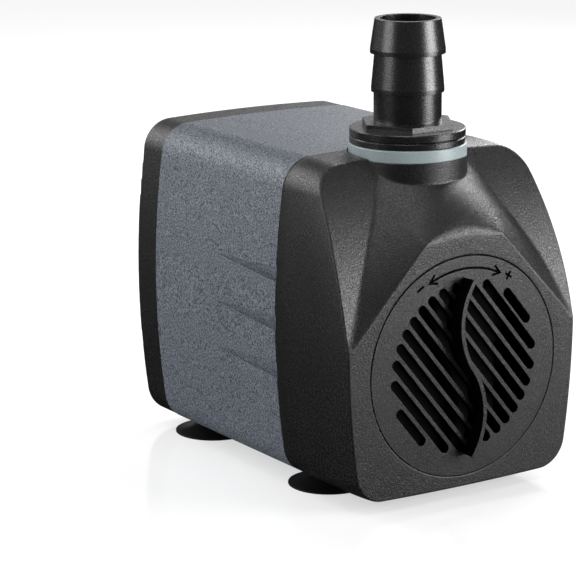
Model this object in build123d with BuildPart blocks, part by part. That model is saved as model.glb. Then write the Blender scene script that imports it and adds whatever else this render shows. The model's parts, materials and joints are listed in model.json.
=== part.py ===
from build123d import *
import math
import os

# Submersible fountain pump, standing on four suction cups with its intake grille facing -Y.
# Millimetres. The origin is on the floor, under the middle of the pump's own box.
# "depth" is always measured back from the flat front face of the pump, along +Y.

# ---- Driving dimensions -------------------------------------------------------------

# Body outline, seen from the front: a barrel with slightly crowned sides
body_half_width = 53.7
widest_z = 66.0
body_bottom_z = 3.4
body_top_z = 130.1
top_corner = (48.1, 128.9)
bottom_corner = (48.3, 4.3)
body_side_radius = 353.0
corner_radius = 13.0

# Lengths along the body
body_length = 156.2
front_cover_depth = 49.1
rear_cover_start = 140.1
seam_half_gap = 0.15
grip_height = 6.5
gland_length = 8.0
front_y = -(body_length + gland_length - grip_height) / 2

# Shells
cover_wall = 2.6
housing_wall = 3.2
register_gap = 0.1
register_thickness = 1.5
rear_cover_inset = 0.2
rear_cover_fillet = 1.8

# Shoulders of the front cover: an arc that leaves the front face and leans back to the crown
shoulder_start_z = 62.1
shoulder_middle = (12.46, 99.1)
shoulder_end = (37.8, 136.0)

# Hood of the front cover: depth, height at the side, half width and height of its upper
# edge, height at the middle
hood_sections = (
    (0.0, 62.1, 18.2, 101.2, 104.2),
    (12.0, 84.0, 21.6, 110.1, 117.6),
    (24.0, 97.7, 25.0, 118.6, 126.0),
    (34.0, 110.0, 26.5, 130.2, 131.6),
)
hood_side_x = 53.8
hood_floor_z = 30.0

# Flow dial, turning on the pump's main axis
axis_z = 51.7
dial_radius = 42.85
dial_pocket_radius = 43.15
dial_thickness = 3.0
dial_engraving = 0.8
skirt_radius = 40.4
skirt_inner_radius = 38.4
skirt_end = 8.0
seat_radius = 46.0
seat_front = 3.2
seat_back = 5.2
seat_bore_radius = 40.45
seat_sleeve_bore = 43.2
seat_sleeve_radius = 45.0
seat_sleeve_end = 12.2
retainer_radius = 42.4
retainer_start = 5.5
retainer_end = 7.3

# Dial face
slot_angle = -50.6
slot_pitch = 5.39
slot_width = 3.85
slot_count = 13
slot_shift = 0.4
slot_circle_radius = 33.4
grip_half_length = 34.5
grip_sway = 5.4
grip_thickness = 1.7
arrow_radius = 38.2
arrow_half_angle = 24.0
mark_angle = 32.0
mark_radius = 38.8
mark_length = 3.6
mark_width = 0.9

# Shutter and intake plate
shutter_radius = 39.9
shutter_end = 9.4
shutter_edge_x = 20.0
intake_plate_start = 10.2
intake_window_radius = 36.0
intake_window_chord = 17.0
intake_window_turn = 30.0

# Volute
volute_cover_start = 19.5
chamber_start = 22.5
chamber_back = 50.0
bulkhead_start = 53.0
bulkhead_end = 56.2
chamber_radius = 33.5
chamber_bore_radius = 27.0
chamber_throat_radius = 17.0
flange_half_width = 43.0
flange_half_height = 34.0
eye_radius = 11.0
eye_lip_radius = 13.5
eye_lip_start = 16.5
spider_hub_radius = 5.6
cover_screw_circle = 30.2
cover_screw_hole = 1.3
chamber_screw_x = 38.0
chamber_screw_z = 21.0
chamber_screw_hole = 1.55
seal_radius = 21.0
seal_section = 0.95

# Outlet, standing on the body above the volute
outlet_depth = 37.8
outlet_pipe_radius = 15.2
outlet_bore_radius = 12.55
outlet_pipe_top = 128.0
pipe_clearance = 0.3
collar_radius = 22.9
collar_top = 128.2
collar_bottom = 116.0
seat_recess_radius = 23.3
ring_top = 133.0
disc_radius = 22.4
disc_groove_depth = 0.8
washer_top = 135.6
ring_nut_bottom = 135.8
hex_bottom = 138.8
hex_top = 141.1
hex_radius = 19.2
thread_radius = 12.5
thread_bottom = 113.8
ring_bore_radius = 12.65
neck_radius = 13.1
barb_low = (152.65, 14.07, 12.85)
barb_high = (167.4, 14.5, 12.78)
barb_land = 1.6
mouth_z = 180.6
hose_bore_radius = 10.7

# Rotor
shaft_radius = 2.0
rotor_bore_radius = 2.06
shaft_start = 17.2
shaft_end = 111.6
bushing_radius = 3.6
front_bushing_start = 16.5
front_bushing_end = 22.4
rear_bushing_start = 108.6
rear_bushing_radius = 5.0
washer_radius = 4.0
washer_thickness = 1.1
impeller_start = 23.9
impeller_end = 46.0
impeller_disc_start = 41.0
impeller_disc_end = 43.0
impeller_radius = 20.0
impeller_hub_radius = 6.5
blade_start = 27.5
blade_count = 6
blade_thickness = 1.8
blade_curve_radius = 18.0
sleeve_radius = 4.6
sleeve_neck_radius = 7.0
sleeve_flange_start = 58.0
magnet_start = 60.0
magnet_end = 106.0
magnet_radius = 12.8
sleeve_end = 107.2
can_radius = 15.0
can_bore_radius = 13.6
can_end = 114.0
can_floor = 112.6
can_flange_radius = 22.0
can_flange_end = 58.2

# Stator
stack_start = 66.0
stack_end = 104.0
pole_bore_radius = 15.3
pole_bottom_z = 28.0
pole_top_z = 75.0
pole_half_width = 34.0
pole_gap = 3.0
leg_inner_x = 16.0
leg_outer_x = 32.0
yoke_bottom_z = 106.0
yoke_top_z = 119.0
bobbin_gap = 0.2
bobbin_wall = 1.2
bobbin_flange = 8.5
bobbin_bottom_z = 77.0
bobbin_top_z = 104.0
bobbin_flange_thickness = 2.0
coil_thickness = 7.2
resin_start = 58.3
resin_end = 126.0
resin_inset = 3.3
fuse_radius = 2.2
fuse_length = 11.0
lead_radius = 1.1

# Feet
cup_x = 32.8
front_cup_depth = 43.5
rear_cup_depth = 129.8
cup_radius = 16.0
cup_neck_radius = 2.9
cup_hole_radius = 3.0
cup_head_radius = 4.6
cup_boss_radius = 6.5
cup_boss_top = 7.4

# Rear cover, gland and screws
rear_inner_depth = 153.0
rear_lip_start = 135.0
rear_screw_x = 37.0
rear_screw_z = (18.0, 112.0)
rear_boss_start = 127.0
rear_boss_radius = 4.2
rear_rib_end_x = 47.6
rear_rib_thickness = 2.4
gland_z = 92.0
gland_thread_radius = 6.0
gland_flange_radius = 9.5
gland_nut_flats = 17.0
gland_start = 146.0
grommet_radius = 4.8
cable_radius = 3.3

# Side gills of the housing
gill_z = (85.8, 66.6, 47.6)
gill_tip_depth = 98.5
gill_height = 7.6
gill_cut = 2.1


# ---- Planes and shared outlines -----------------------------------------------------


def across(depth):
    """Plane across the pump at a depth behind the front face, +X right and +Z up."""
    return Plane.XZ.offset(-(front_y + depth))


def axis_plane(depth):
    """The same plane, with its origin on the dial and rotor axis."""
    return Plane(across(depth).origin + Vector(0, 0, axis_z), x_dir=(1, 0, 0), z_dir=(0, -1, 0))


def outlet_plane(height):
    """Level plane with its origin on the outlet's axis."""
    return Plane((0, front_y + outlet_depth, height))


def body_outline(depth, inset=0.0):
    """Barrel outline of the body, inset from the outer skin."""
    right_side = (body_half_width, widest_z)
    left_side = (-body_half_width, widest_z)
    top_left = (-top_corner[0], top_corner[1])
    bottom_left = (-bottom_corner[0], bottom_corner[1])
    with BuildSketch(across(depth)) as outline:
        with BuildLine():
            ThreePointArc(top_left, (0, body_top_z), top_corner)
            ThreePointArc(top_corner, right_side, bottom_corner)
            ThreePointArc(bottom_corner, (0, body_bottom_z), bottom_left)
            ThreePointArc(bottom_left, left_side, top_left)
        make_face()
        fillet(outline.vertices(), corner_radius)
        if inset > 0:
            offset(amount=-inset)
    return outline.sketch


def body_block(start, end, inset=0.0):
    """Solid with the body outline between two depths."""
    with BuildPart() as block:
        extrude(body_outline(start, inset), amount=end - start, dir=(0, 1, 0))
    return block.part


def cylinder_y(start, end, radius, x=0.0, z=axis_z):
    """Solid cylinder along the pump between two depths."""
    with BuildPart() as cylinder:
        with BuildSketch(Plane(across(start).origin + Vector(x, 0, z), x_dir=(1, 0, 0), z_dir=(0, 1, 0))):
            Circle(radius)
        extrude(amount=end - start)
    return cylinder.part


def tube_y(start, end, outer_radius, inner_radius):
    """Solid tube round the main axis between two depths."""
    with BuildPart() as tube:
        with BuildSketch(axis_plane(start)):
            Circle(outer_radius)
            Circle(inner_radius, mode=Mode.SUBTRACT)
        extrude(amount=-(end - start))
    return tube.part


def outlet_cylinder(bottom, top, radius):
    """Solid cylinder on the outlet's axis between two heights."""
    with BuildPart() as cylinder:
        with BuildSketch(outlet_plane(bottom)):
            Circle(radius)
        extrude(amount=top - bottom)
    return cylinder.part


def mirrored_spots(x, heights):
    """The points left and right of the middle at each height."""
    return [(side * x, height) for side in (-1, 1) for height in heights]


def screw(head_depth, shank_end, head_radius, shank_radius, x, z):
    """Pan-head screw pointing back into the pump, its head seated at head_depth."""
    head_height = head_radius * 0.7
    with BuildPart() as body:
        with BuildSketch(across(head_depth)):
            with Locations((x, z)):
                Circle(head_radius)
        extrude(amount=head_height)
        fillet(body.faces().sort_by(Axis.Y)[0].edges(), head_height * 0.4)
        with BuildSketch(across(head_depth - head_height)):
            with Locations((x, z)):
                Rectangle(head_radius * 1.2, head_radius * 0.28)
                Rectangle(head_radius * 0.28, head_radius * 1.2)
        extrude(amount=-head_height * 0.55, mode=Mode.SUBTRACT)
        with BuildSketch(across(head_depth)):
            with Locations((x, z)):
                Circle(shank_radius)
        extrude(amount=-(shank_end - head_depth))
    return body.part


def save(name, part):
    """Label one finished piece and write its STEP file."""
    part.label = name
    export_step(part, f"parts/{name}.step")


os.makedirs("parts", exist_ok=True)


# ---- Front cover --------------------------------------------------------------------


def hood_section(depth, side_z, edge_x, edge_z, middle_z, inset):
    """One cross-section of the hood, drawn inset from its outer skin."""
    side_x = hood_side_x
    low = side_z - 1.3 * inset
    edge = (edge_x - 0.5 * inset, edge_z - 1.2 * inset)
    middle = middle_z - 1.4 * inset
    with BuildSketch(across(depth + inset)) as section:
        with BuildLine():
            Polyline(
                (-edge[0], edge[1]),
                (-side_x, low),
                (-side_x, hood_floor_z),
                (side_x, hood_floor_z),
                (side_x, low),
                edge,
            )
            ThreePointArc(edge, (0, middle), (-edge[0], edge[1]))
        make_face()
    return section.sketch


def hood(inset):
    """Hood that carries the octagonal front face up to the outlet collar."""
    with BuildPart() as body:
        loft(sections=[hood_section(*row, inset) for row in hood_sections])
        add(body_block(0, front_cover_depth, inset), mode=Mode.INTERSECT)
    return body.part


def shoulder_cut(inset):
    """Everything in front of the shoulders, with the shoulder moved inwards by inset."""
    with BuildPart() as cut:
        with BuildSketch(Plane((0, front_y, 0), x_dir=(0, 1, 0), z_dir=(1, 0, 0))):
            with BuildLine():
                ThreePointArc((0, shoulder_start_z), shoulder_middle, shoulder_end)
                Polyline(shoulder_end, (-20, shoulder_end[1]), (-20, shoulder_start_z), (0, shoulder_start_z))
            make_face()
            if inset > 0:
                offset(amount=inset)
        extrude(amount=2 * body_half_width, both=True)
    return cut.part


def front_shape(inset):
    """Solid sculpted block of the front cover, inset from its outer skin."""
    with BuildPart() as shape:
        add(body_block(inset, front_cover_depth, inset))
        add(shoulder_cut(inset), mode=Mode.SUBTRACT)
        add(hood(inset))
    return shape.part


def cup_bosses(depth):
    """Two thick pads inside the body's floor that hold the suction cups' necks."""
    with BuildPart() as bosses:
        with BuildSketch(Plane.XY.offset(body_bottom_z + 0.8)):
            with Locations((-cup_x, front_y + depth), (cup_x, front_y + depth)):
                Circle(cup_boss_radius)
        extrude(amount=cup_boss_top - body_bottom_z - 0.8)
    return bosses.part


def cup_holes(depth, radius, top):
    """Two holes up from the floor on the suction cups' axes."""
    with BuildPart() as holes:
        with BuildSketch(Plane.XY):
            with Locations((-cup_x, front_y + depth), (cup_x, front_y + depth)):
                Circle(radius)
        extrude(amount=top)
    return holes.part


with BuildPart() as front_cover:
    add(front_shape(0))
    add(front_shape(cover_wall), mode=Mode.SUBTRACT)
    add(outlet_cylinder(collar_bottom, collar_top, collar_radius))
    add(cup_bosses(front_cup_depth))
    add(body_block(front_cover_depth - seam_half_gap, body_length), mode=Mode.SUBTRACT)
    add(tube_y(0, seat_back, seat_radius, seat_bore_radius))
    add(tube_y(seat_back, seat_sleeve_end, seat_sleeve_radius, seat_sleeve_bore))
    add(cylinder_y(-1, seat_front, dial_pocket_radius), mode=Mode.SUBTRACT)
    add(cylinder_y(0, seat_back, seat_bore_radius), mode=Mode.SUBTRACT)
    add(outlet_cylinder(collar_top, mouth_z, seat_recess_radius), mode=Mode.SUBTRACT)
    add(outlet_cylinder(axis_z, mouth_z, outlet_pipe_radius + pipe_clearance), mode=Mode.SUBTRACT)
    add(cup_holes(front_cup_depth, cup_hole_radius, cup_boss_top), mode=Mode.SUBTRACT)
save("front_cover", front_cover.part)


# ---- Flow dial ----------------------------------------------------------------------


def dial_slots():
    """Parallel slots of the grille, each ending on one circle."""
    with BuildSketch(axis_plane(0)) as slots:
        for index in range(slot_count):
            reach = slot_shift + (index - slot_count // 2) * slot_pitch
            reach = max(-slot_circle_radius + 1.3, min(slot_circle_radius - 1.3, reach))
            half_length = math.sqrt(slot_circle_radius**2 - reach**2)
            middle = (
                -reach * math.sin(math.radians(slot_angle)),
                reach * math.cos(math.radians(slot_angle)),
            )
            with Locations(middle):
                SlotOverall(2 * half_length, slot_width, rotation=slot_angle)
    return slots.sketch


def dial_point(radius, angle):
    """Point on the dial, its angle counted clockwise from the top."""
    return (radius * math.sin(math.radians(angle)), radius * math.cos(math.radians(angle)))


def dial_marks():
    """Turning arrow with two heads, a minus at its left end and a plus at its right."""
    with BuildSketch(axis_plane(0)) as marks:
        with BuildLine():
            ThreePointArc(
                dial_point(arrow_radius, -arrow_half_angle),
                dial_point(arrow_radius, 0),
                dial_point(arrow_radius, arrow_half_angle),
            )
        trace(line_width=mark_width)
        for side in (-1, 1):
            tip = dial_point(arrow_radius, side * (arrow_half_angle + 1.5))
            with BuildLine():
                Polyline(
                    dial_point(arrow_radius + 1.9, side * (arrow_half_angle - 3.5)),
                    tip,
                    dial_point(arrow_radius - 1.9, side * (arrow_half_angle - 3.5)),
                )
            trace(line_width=mark_width)
        with Locations(dial_point(mark_radius, -mark_angle)):
            Rectangle(mark_length, mark_width, rotation=mark_angle)
        with Locations(dial_point(mark_radius, mark_angle)):
            Rectangle(mark_length, mark_width, rotation=-mark_angle)
            Rectangle(mark_width, mark_length, rotation=-mark_angle)
    return marks.sketch


with BuildPart() as flow_dial:
    with BuildSketch(axis_plane(0)):
        Circle(dial_radius)
    extrude(amount=-dial_thickness)
    extrude(dial_slots(), amount=dial_thickness, dir=(0, 1, 0), mode=Mode.SUBTRACT)
    extrude(dial_marks(), amount=dial_engraving, dir=(0, 1, 0), mode=Mode.SUBTRACT)
    with BuildSketch(axis_plane(-grip_height)):
        with BuildLine():
            ThreePointArc((0, grip_half_length), (-grip_sway, grip_half_length / 2), (0, 0))
            ThreePointArc((0, 0), (grip_sway, -grip_half_length / 2), (0, -grip_half_length))
        trace(line_width=grip_thickness)
    extrude(amount=-(grip_height + dial_thickness))
    add(tube_y(dial_thickness, skirt_end, skirt_radius, skirt_inner_radius))
save("flow_dial", flow_dial.part)

save("dial_retainer", tube_y(retainer_start, retainer_end, retainer_radius, skirt_radius))

with BuildPart() as dial_shutter:
    with BuildSketch(axis_plane(skirt_end)):
        Circle(shutter_radius)
        with Locations((shutter_edge_x, 0)):
            Rectangle(
                shutter_radius, 2 * shutter_radius, align=(Align.MIN, Align.CENTER), mode=Mode.SUBTRACT
            )
    extrude(amount=-(shutter_end - skirt_end))
save("dial_shutter", dial_shutter.part)

with BuildPart() as intake_plate:
    with BuildSketch(axis_plane(intake_plate_start)):
        Circle(seat_sleeve_bore)
    extrude(amount=-(seat_sleeve_end - intake_plate_start))
    with BuildSketch(axis_plane(intake_plate_start)):
        Circle(intake_window_radius)
        with Locations(dial_point(intake_window_chord - intake_window_radius, 90 + intake_window_turn)):
            Rectangle(
                2 * intake_window_radius,
                2.2 * intake_window_radius,
                rotation=-intake_window_turn,
                mode=Mode.SUBTRACT,
            )
    extrude(amount=-(seat_sleeve_end - intake_plate_start), mode=Mode.SUBTRACT)
save("intake_plate", intake_plate.part)


# ---- Volute -------------------------------------------------------------------------

cover_screw_turns = (45, 135, 225, 315)


def cover_screw_spots():
    """Places of the volute cover's screws, measured from the main axis."""
    return [dial_point(cover_screw_circle, turn) for turn in cover_screw_turns]


with BuildPart() as volute_cover:
    with BuildSketch(axis_plane(volute_cover_start)):
        Circle(chamber_radius)
    extrude(amount=-(chamber_start - volute_cover_start))
    with BuildSketch(axis_plane(eye_lip_start)):
        Circle(eye_lip_radius)
    extrude(amount=-(chamber_start - eye_lip_start))
    with BuildSketch(axis_plane(eye_lip_start)):
        Circle(eye_radius)
    extrude(amount=-(chamber_start - eye_lip_start), mode=Mode.SUBTRACT)
    with BuildSketch(axis_plane(eye_lip_start)):
        Circle(spider_hub_radius)
        with PolarLocations(eye_radius / 2 + 2, 3, start_angle=90):
            Rectangle(eye_radius - 1, 2.2)
        Circle(bushing_radius, mode=Mode.SUBTRACT)
    extrude(amount=-(chamber_start - eye_lip_start))
    with BuildSketch(axis_plane(volute_cover_start)):
        with Locations(*cover_screw_spots()):
            Circle(cover_screw_hole + 0.2)
    extrude(amount=-(chamber_start - volute_cover_start), mode=Mode.SUBTRACT)
save("volute_cover", volute_cover.part)

with BuildPart() as volute_chamber:
    with BuildSketch(axis_plane(chamber_start)):
        Circle(chamber_radius)
    extrude(amount=-(chamber_back - chamber_start))
    with BuildSketch(axis_plane(chamber_back)):
        RectangleRounded(2 * flange_half_width, 2 * flange_half_height, 8)
    extrude(amount=-(bulkhead_start - chamber_back))
    with BuildSketch(outlet_plane(axis_z)):
        Circle(outlet_pipe_radius)
    extrude(amount=outlet_pipe_top - axis_z)
    add(cylinder_y(bulkhead_start, body_length, chamber_radius), mode=Mode.SUBTRACT)
    add(cylinder_y(chamber_start, chamber_back, chamber_bore_radius), mode=Mode.SUBTRACT)
    add(cylinder_y(chamber_back, bulkhead_start, chamber_throat_radius), mode=Mode.SUBTRACT)
    add(outlet_cylinder(axis_z + 8, mouth_z, outlet_bore_radius), mode=Mode.SUBTRACT)
    add(
        tube_y(bulkhead_start - 2 * seal_section, bulkhead_start, seal_radius + 1, seal_radius - 1),
        mode=Mode.SUBTRACT,
    )
    with BuildSketch(axis_plane(chamber_start)):
        with Locations(*cover_screw_spots()):
            Circle(cover_screw_hole)
    extrude(amount=-10, mode=Mode.SUBTRACT)
    with BuildSketch(axis_plane(chamber_back)):
        with Locations(*mirrored_spots(chamber_screw_x, (-chamber_screw_z, chamber_screw_z))):
            Circle(chamber_screw_hole + 0.15)
    extrude(amount=-(bulkhead_start - chamber_back), mode=Mode.SUBTRACT)
save("volute_chamber", volute_chamber.part)

with BuildPart() as chamber_seal:
    with BuildSketch(Plane((0, front_y, axis_z), x_dir=(1, 0, 0), z_dir=(0, 0, 1))):
        with Locations((seal_radius, bulkhead_start - seal_section)):
            Circle(seal_section)
    revolve(axis=Axis((0, front_y, axis_z), (0, 1, 0)))
save("chamber_seal", chamber_seal.part)

with BuildPart() as volute_screws:
    for spot_x, spot_z in cover_screw_spots():
        spot_height = axis_z + spot_z
        add(screw(volute_cover_start, chamber_start + 9, 2.6, cover_screw_hole - 0.05, spot_x, spot_height))
save("volute_screws", volute_screws.part)

with BuildPart() as chamber_screws:
    for spot_x, spot_z in mirrored_spots(chamber_screw_x, (-chamber_screw_z, chamber_screw_z)):
        spot_height = axis_z + spot_z
        add(screw(chamber_back, bulkhead_end + 7, 3.2, chamber_screw_hole - 0.05, spot_x, spot_height))
save("chamber_screws", chamber_screws.part)


# ---- Rotor --------------------------------------------------------------------------

with BuildPart() as impeller:
    with BuildSketch(axis_plane(impeller_start)):
        Circle(impeller_hub_radius)
    extrude(amount=-(impeller_end - impeller_start))
    with BuildSketch(axis_plane(impeller_disc_start)):
        Circle(impeller_radius)
    extrude(amount=-(impeller_disc_end - impeller_disc_start))
    with BuildSketch(axis_plane(blade_start)):
        for number in range(blade_count):
            turn = number * 360 / blade_count
            with BuildLine():
                RadiusArc(
                    dial_point(impeller_hub_radius - 1, turn),
                    dial_point(impeller_radius - 0.8, turn + 35),
                    blade_curve_radius,
                )
            trace(line_width=blade_thickness)
    extrude(amount=-(impeller_disc_start - blade_start))
    add(cylinder_y(impeller_start, impeller_end, rotor_bore_radius), mode=Mode.SUBTRACT)
save("impeller", impeller.part)

with BuildPart() as rotor_sleeve:
    add(tube_y(impeller_end, sleeve_end, sleeve_radius, rotor_bore_radius))
    add(tube_y(impeller_end, sleeve_flange_start, sleeve_neck_radius, rotor_bore_radius))
    add(tube_y(sleeve_flange_start, magnet_start, magnet_radius - 0.8, rotor_bore_radius))
save("rotor_sleeve", rotor_sleeve.part)

with BuildPart() as rotor_magnet:
    add(tube_y(magnet_start, magnet_end, magnet_radius, sleeve_radius))
    chamfer(rotor_magnet.edges().filter_by(GeomType.CIRCLE).sort_by(SortBy.RADIUS)[-2:], 0.6)
save("rotor_magnet", rotor_magnet.part)

with BuildPart() as rotor_shaft:
    add(cylinder_y(shaft_start, shaft_end, shaft_radius))
    chamfer(rotor_shaft.edges().filter_by(GeomType.CIRCLE), 0.3)
save("rotor_shaft", rotor_shaft.part)

with BuildPart() as front_bushing:
    add(cylinder_y(front_bushing_start, front_bushing_end, bushing_radius))
    add(cylinder_y(shaft_start, front_bushing_end, shaft_radius), mode=Mode.SUBTRACT)
save("front_bushing", front_bushing.part)

with BuildPart() as rear_bushing:
    add(cylinder_y(rear_bushing_start, can_floor, rear_bushing_radius))
    add(cylinder_y(rear_bushing_start, shaft_end, shaft_radius), mode=Mode.SUBTRACT)
save("rear_bushing", rear_bushing.part)

front_washer_start = front_bushing_end + 0.1
save(
    "front_thrust_washer",
    tube_y(front_washer_start, front_washer_start + washer_thickness, washer_radius, rotor_bore_radius),
)
save(
    "rear_thrust_washer",
    tube_y(rear_bushing_start - washer_thickness, rear_bushing_start, washer_radius, rotor_bore_radius),
)

with BuildPart() as rotor_can:
    add(cylinder_y(bulkhead_start, can_end, can_radius))
    add(cylinder_y(bulkhead_end, can_flange_end, can_flange_radius))
    add(cylinder_y(bulkhead_start, rear_bushing_start + 0.6, can_bore_radius), mode=Mode.SUBTRACT)
    add(cylinder_y(rear_bushing_start, can_floor, rear_bushing_radius), mode=Mode.SUBTRACT)
save("rotor_can", rotor_can.part)


# ---- Stator -------------------------------------------------------------------------


def pole_side(side):
    """Outline of one pole, leg and half yoke of the laminated core."""
    with BuildSketch(across(stack_start)) as half:
        with BuildLine():
            Polyline(
                (side * pole_gap / 2, pole_bottom_z),
                (side * (pole_half_width - 6), pole_bottom_z),
                (side * pole_half_width, pole_bottom_z + 6),
                (side * pole_half_width, pole_top_z),
                (side * leg_outer_x, pole_top_z),
                (side * leg_outer_x, yoke_top_z),
                (0, yoke_top_z),
                (0, yoke_bottom_z),
                (side * leg_inner_x, yoke_bottom_z),
                (side * leg_inner_x, pole_top_z),
                (side * pole_gap / 2, pole_top_z - 6),
                (side * pole_gap / 2, pole_bottom_z),
            )
        make_face()
    return half.sketch


with BuildPart() as stator_core:
    for side in (-1, 1):
        extrude(pole_side(side), amount=stack_end - stack_start, dir=(0, 1, 0))
    add(cylinder_y(stack_start, stack_end, pole_bore_radius), mode=Mode.SUBTRACT)
save("stator_core", stator_core.part)

leg_middle_x = (leg_inner_x + leg_outer_x) / 2
leg_width = leg_outer_x - leg_inner_x + 2 * bobbin_gap
leg_depth = stack_end - stack_start + 2 * bobbin_gap
stack_middle_y = front_y + (stack_start + stack_end) / 2


def winding_ring(side, bottom, top, inner_margin, outer_margin, outer_corner):
    """Rectangular ring round one leg of the core, its margins counted from the leg's clearance."""
    with BuildPart() as ring:
        with BuildSketch(Plane((side * leg_middle_x, stack_middle_y, bottom))):
            RectangleRounded(leg_width + 2 * outer_margin, leg_depth + 2 * outer_margin, outer_corner)
            Rectangle(leg_width + 2 * inner_margin, leg_depth + 2 * inner_margin, mode=Mode.SUBTRACT)
        extrude(amount=top - bottom)
    return ring.part


def bobbin(side):
    """Bobbin with a flange at each end of its winding window."""
    inner_low = bobbin_bottom_z + bobbin_flange_thickness
    inner_high = bobbin_top_z - bobbin_flange_thickness
    with BuildPart() as spool:
        add(winding_ring(side, bobbin_bottom_z, bobbin_top_z, 0, bobbin_wall, 0.5))
        add(winding_ring(side, bobbin_bottom_z, inner_low, 0, bobbin_flange, 2))
        add(winding_ring(side, inner_high, bobbin_top_z, 0, bobbin_flange, 2))
    return spool.part


def coil(side):
    """Enamelled winding on one bobbin."""
    low = bobbin_bottom_z + bobbin_flange_thickness
    high = bobbin_top_z - bobbin_flange_thickness
    return winding_ring(side, low, high, bobbin_wall, bobbin_wall + coil_thickness - 0.4, 4)


coil_back = stack_end + bobbin_gap + bobbin_flange
winding_z = (bobbin_bottom_z + bobbin_top_z) / 2


def lead(side):
    """Insulated lead from one coil back to the gland."""
    start = (side * leg_middle_x, front_y + coil_back + 0.2, winding_z + 6)
    bend = (side * leg_middle_x, front_y + coil_back + 14, winding_z + 6)
    inlet = (side * (lead_radius + 0.15), front_y + gland_start - 12, gland_z)
    end = (side * (lead_radius + 0.15), front_y + gland_start + 2, gland_z)
    with BuildPart() as wire:
        with BuildLine() as route:
            FilletPolyline(start, bend, inlet, end, radius=6)
        with BuildSketch(Plane(start, x_dir=(1, 0, 0), z_dir=(0, 1, 0))):
            Circle(lead_radius)
        sweep(path=route.wires()[0])
    return wire.part


with BuildPart() as thermal_fuse:
    fuse_middle = (-leg_middle_x, front_y + coil_back + 3, winding_z - 6)
    fuse_plane = Plane(fuse_middle, x_dir=(0, 1, 0), z_dir=(1, 0, 0))
    with BuildSketch(fuse_plane):
        Circle(fuse_radius)
    extrude(amount=fuse_length / 2, both=True)
    fillet(thermal_fuse.edges().filter_by(GeomType.CIRCLE), 0.6)

bobbins = {"left": bobbin(-1), "right": bobbin(1)}
coils = {"left": coil(-1), "right": coil(1)}
leads = {"live": lead(-1), "neutral": lead(1)}

with BuildPart() as potting_resin:
    add(body_block(resin_start, resin_end, resin_inset))
    add(stator_core.part, mode=Mode.SUBTRACT)
    for piece in (*bobbins.values(), *coils.values(), *leads.values(), thermal_fuse.part):
        add(piece, mode=Mode.SUBTRACT)
    for side in (-1, 1):
        core = winding_ring(side, bobbin_bottom_z, bobbin_top_z, -bobbin_gap, 2 * bobbin_wall, 0.1)
        add(core, mode=Mode.SUBTRACT)
    add(cylinder_y(resin_start, can_end, can_radius), mode=Mode.SUBTRACT)
    add(cup_holes(rear_cup_depth, cup_boss_radius + 0.1, cup_boss_top + 3), mode=Mode.SUBTRACT)
    for spot_x, spot_z in mirrored_spots(chamber_screw_x, (-chamber_screw_z, chamber_screw_z)):
        add(cylinder_y(resin_start, bulkhead_end + 9, 4.2, spot_x, axis_z + spot_z), mode=Mode.SUBTRACT)

save("bobbin_left", bobbins["left"])
save("bobbin_right", bobbins["right"])
save("coil_left", coils["left"])
save("coil_right", coils["right"])
save("lead_live", leads["live"])
save("lead_neutral", leads["neutral"])
save("thermal_fuse", thermal_fuse.part)
save("potting_resin", potting_resin.part)


# ---- Motor housing ------------------------------------------------------------------


def gill(side, height):
    """Wedge cut into the housing's side: widest at the front seam, running out at its tip."""
    skin = body_half_width - (height - widest_z) ** 2 / (2 * body_side_radius) + 0.3

    def wedge(depth, size):
        """Triangle cut out of the side wall in one section; size 1 is the full gill."""
        low = height - size * gill_height / 2
        with BuildSketch(across(depth)) as triangle:
            with BuildLine():
                Polyline(
                    (side * skin, low),
                    (side * (skin - 0.3 - size * gill_cut), low),
                    (side * skin, low + size * gill_height),
                    (side * skin, low),
                )
            make_face()
        return triangle.sketch

    with BuildPart() as cut:
        loft(sections=[wedge(front_cover_depth - 1, 1.0), wedge(gill_tip_depth, 0.02)], ruled=True)
    return cut.part


housing_start = front_cover_depth + seam_half_gap
housing_end = rear_cover_start - seam_half_gap
register_start = front_cover_depth - 3
register_inset = cover_wall + register_gap


def register_notches():
    """Gaps in the register lip for the front cups' bosses and for the outlet collar."""
    with BuildPart() as notches:
        with BuildSketch(across(register_start)):
            with Locations((-cup_x, 0), (cup_x, 0)):
                Rectangle(2 * cup_boss_radius + 2, 2 * (cup_boss_top + 3))
            with Locations((0, collar_top)):
                Rectangle(2 * collar_radius + 1, 2 * (collar_top - collar_bottom))
        extrude(amount=-(housing_start - register_start))
    return notches.part


def rear_boss_rib(spot_x, spot_z):
    """Rib that ties one rear screw boss to the housing's side wall."""
    side = math.copysign(1, spot_x)
    with BuildPart() as rib:
        with BuildSketch(across(rear_boss_start)):
            with Locations(((spot_x + side * rear_rib_end_x) / 2, spot_z)):
                Rectangle(rear_rib_end_x - rear_screw_x, rear_rib_thickness)
        extrude(amount=-(housing_end - rear_boss_start))
    return rib.part


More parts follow.
